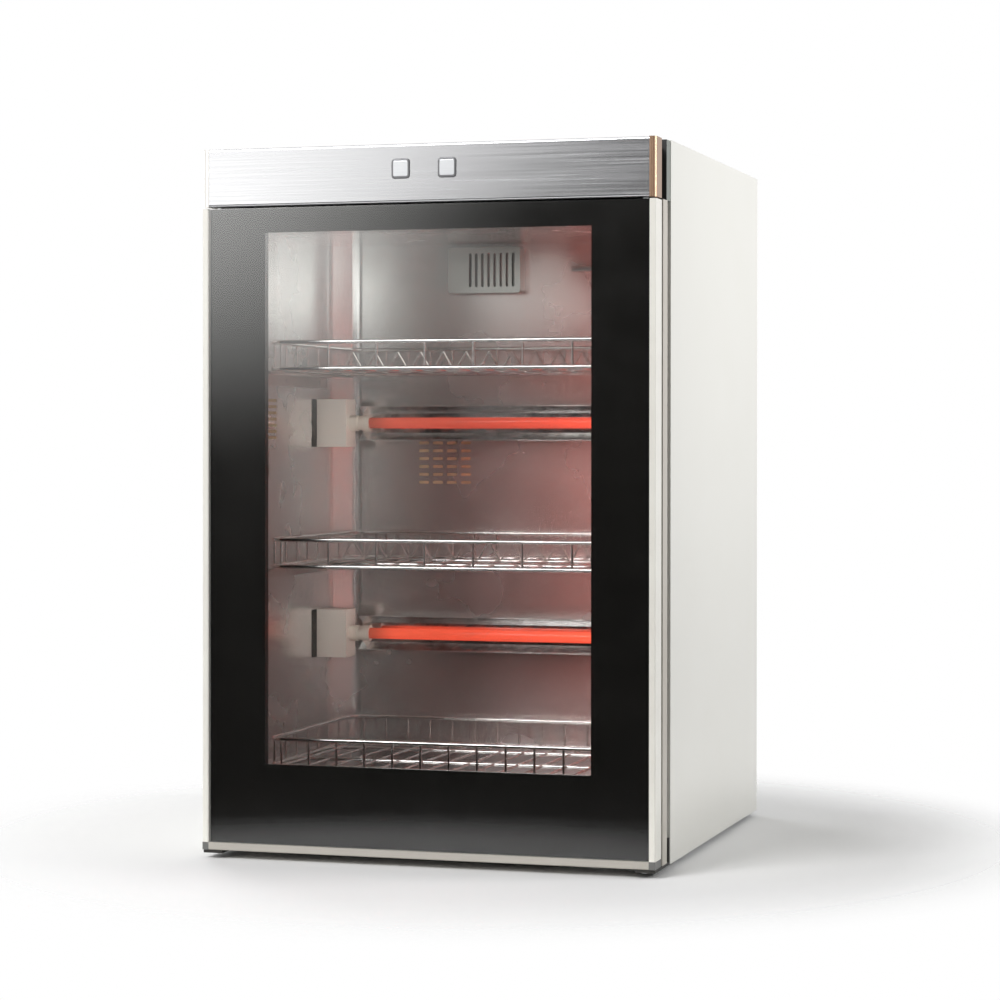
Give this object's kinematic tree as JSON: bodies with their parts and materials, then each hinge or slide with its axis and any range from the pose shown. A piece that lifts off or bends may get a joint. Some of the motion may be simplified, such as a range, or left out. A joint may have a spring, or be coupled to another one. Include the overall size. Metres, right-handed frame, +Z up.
{
  "type": "dish sterilizer cabinet",
  "caption": "Free-standing dish sterilizer cabinet: hinged glass door, push-button panel, sliding wire racks and infrared heater tubes in a steel chamber.",
  "frame": {"origin": "centre of the cabinet's outline on the floor plane that its feet stand on", "axes": "+Z up, the door and its panel face -Y, +X is the hinge side (the right of someone facing the door)"},
  "size_m": [0.43, 0.42, 0.653],
  "materials": {
    "casing_white": "smooth semi-gloss powder coat",
    "frame_beige": "smooth satin paint",
    "panel_steel": "horizontally brushed stainless steel",
    "chamber_steel": "bright annealed stainless steel",
    "rack_wire": "electropolished stainless wire",
    "reflector_aluminium": "polished",
    "zinc_steel": "zinc-plated",
    "dark_steel": "black powder coat",
    "quartz": "clear quartz, lit from inside",
    "filament": "glowing resistance wire",
    "ceramic_white": "matt steatite",
    "door_glass": "clear tempered glass",
    "print_black": "black ceramic print behind the glass",
    "trim_cream": "cream gloss",
    "cap_champagne": "champagne anodised",
    "plastic_dark": "fine-textured black",
    "plastic_grey": "fine-textured grey",
    "button_silver": "silver lacquer",
    "gasket_rubber": "matt black",
    "foot_rubber": "matt black",
    "magnet": "rubber-bonded ferrite",
    "mineral_wool": "mineral wool felt",
    "board_green": "solder mask",
    "terminal_ivory": "moulded ivory",
    "wire_silicone": "silicone insulation"
  },
  "bodies": {
    "cabinet": {"left_side_panel": "casing_white", "right_side_panel": "casing_white", "top_cover": "casing_white", "rear_cover": "casing_white", "base_pan": "zinc_steel", "casing_screws": "zinc_steel", "electronics_plate": "zinc_steel", "upper_hinge_bracket": "zinc_steel", "hinge_pins": "zinc_steel", "power_button_spring": "zinc_steel", "start_button_spring": "zinc_steel", "front_frame": "frame_beige", "panel_skin": "panel_steel", "liner_wrap": "chamber_steel", "liner_ceiling": "chamber_steel", "liner_floor": "chamber_steel", "upper_rack_rails": "chamber_steel", "middle_rack_rails": "chamber_steel", "lower_rack_rails": "chamber_steel", "tube_brackets": "chamber_steel", "ozone_vent_cover": "chamber_steel", "temperature_probe": "chamber_steel", "reflectors": "reflector_aluminium", "lower_hinge_bracket": "dark_steel", "door_rest_bracket": "dark_steel", "upper_heater_tube": "quartz", "lower_heater_tube": "quartz", "upper_filament": "filament", "lower_filament": "filament", "tube_end_caps": "ceramic_white", "panel_end_cap_left": "cap_champagne", "panel_end_cap_right": "cap_champagne", "cord_entry_cup": "plastic_dark", "cable_gland": "plastic_dark", "push_switches": "plastic_dark", "panel_carrier": "plastic_grey", "ozone_generator": "plastic_grey", "rubber_feet": "foot_rubber", "side_insulation": "mineral_wool", "rear_insulation": "mineral_wool", "top_insulation": "mineral_wool", "control_board": "board_green", "terminal_block": "terminal_ivory", "wiring_harness": "wire_silicone"},
    "door": {"door_glass": "door_glass", "glass_border": "print_black", "door_frame": "plastic_dark", "inner_glass": "door_glass", "pane_clips": "zinc_steel", "door_trim_left": "trim_cream", "door_trim_right": "trim_cream", "door_trim_bottom": "trim_cream", "door_corner_caps": "plastic_dark", "door_gasket": "gasket_rubber", "gasket_magnets": "magnet"},
    "power_push": {"power_button": "button_silver"},
    "start_push": {"start_button": "button_silver"},
    "rack_upper": {"upper_rack": "rack_wire"},
    "rack_middle": {"middle_rack": "rack_wire"},
    "rack_lower": {"lower_rack": "rack_wire"}
  },
  "joints": [
    {"name": "door_hinge", "type": "hinge", "parent": "cabinet", "child": "door", "pos_m": [0.203, -0.199, 0.3], "axis": [0, 0, 1], "range_deg": [0, 110]},
    {"name": "power_button_press", "type": "slide", "parent": "cabinet", "child": "power_push", "axis": [0, 1, 0], "range_m": [0, 0.002], "stiffness_N_per_m": 800, "deforming": ["power_button_spring"]},
    {"name": "start_button_press", "type": "slide", "parent": "cabinet", "child": "start_push", "axis": [0, 1, 0], "range_m": [0, 0.002], "stiffness_N_per_m": 800, "deforming": ["start_button_spring"]},
    {"name": "upper_rack_slide", "type": "slide", "parent": "cabinet", "child": "rack_upper", "axis": [0, -1, 0], "range_m": [0, 0.04]},
    {"name": "middle_rack_slide", "type": "slide", "parent": "cabinet", "child": "rack_middle", "axis": [0, -1, 0], "range_m": [0, 0.04]},
    {"name": "lower_rack_slide", "type": "slide", "parent": "cabinet", "child": "rack_lower", "axis": [0, -1, 0], "range_m": [0, 0.04]}
  ]
}
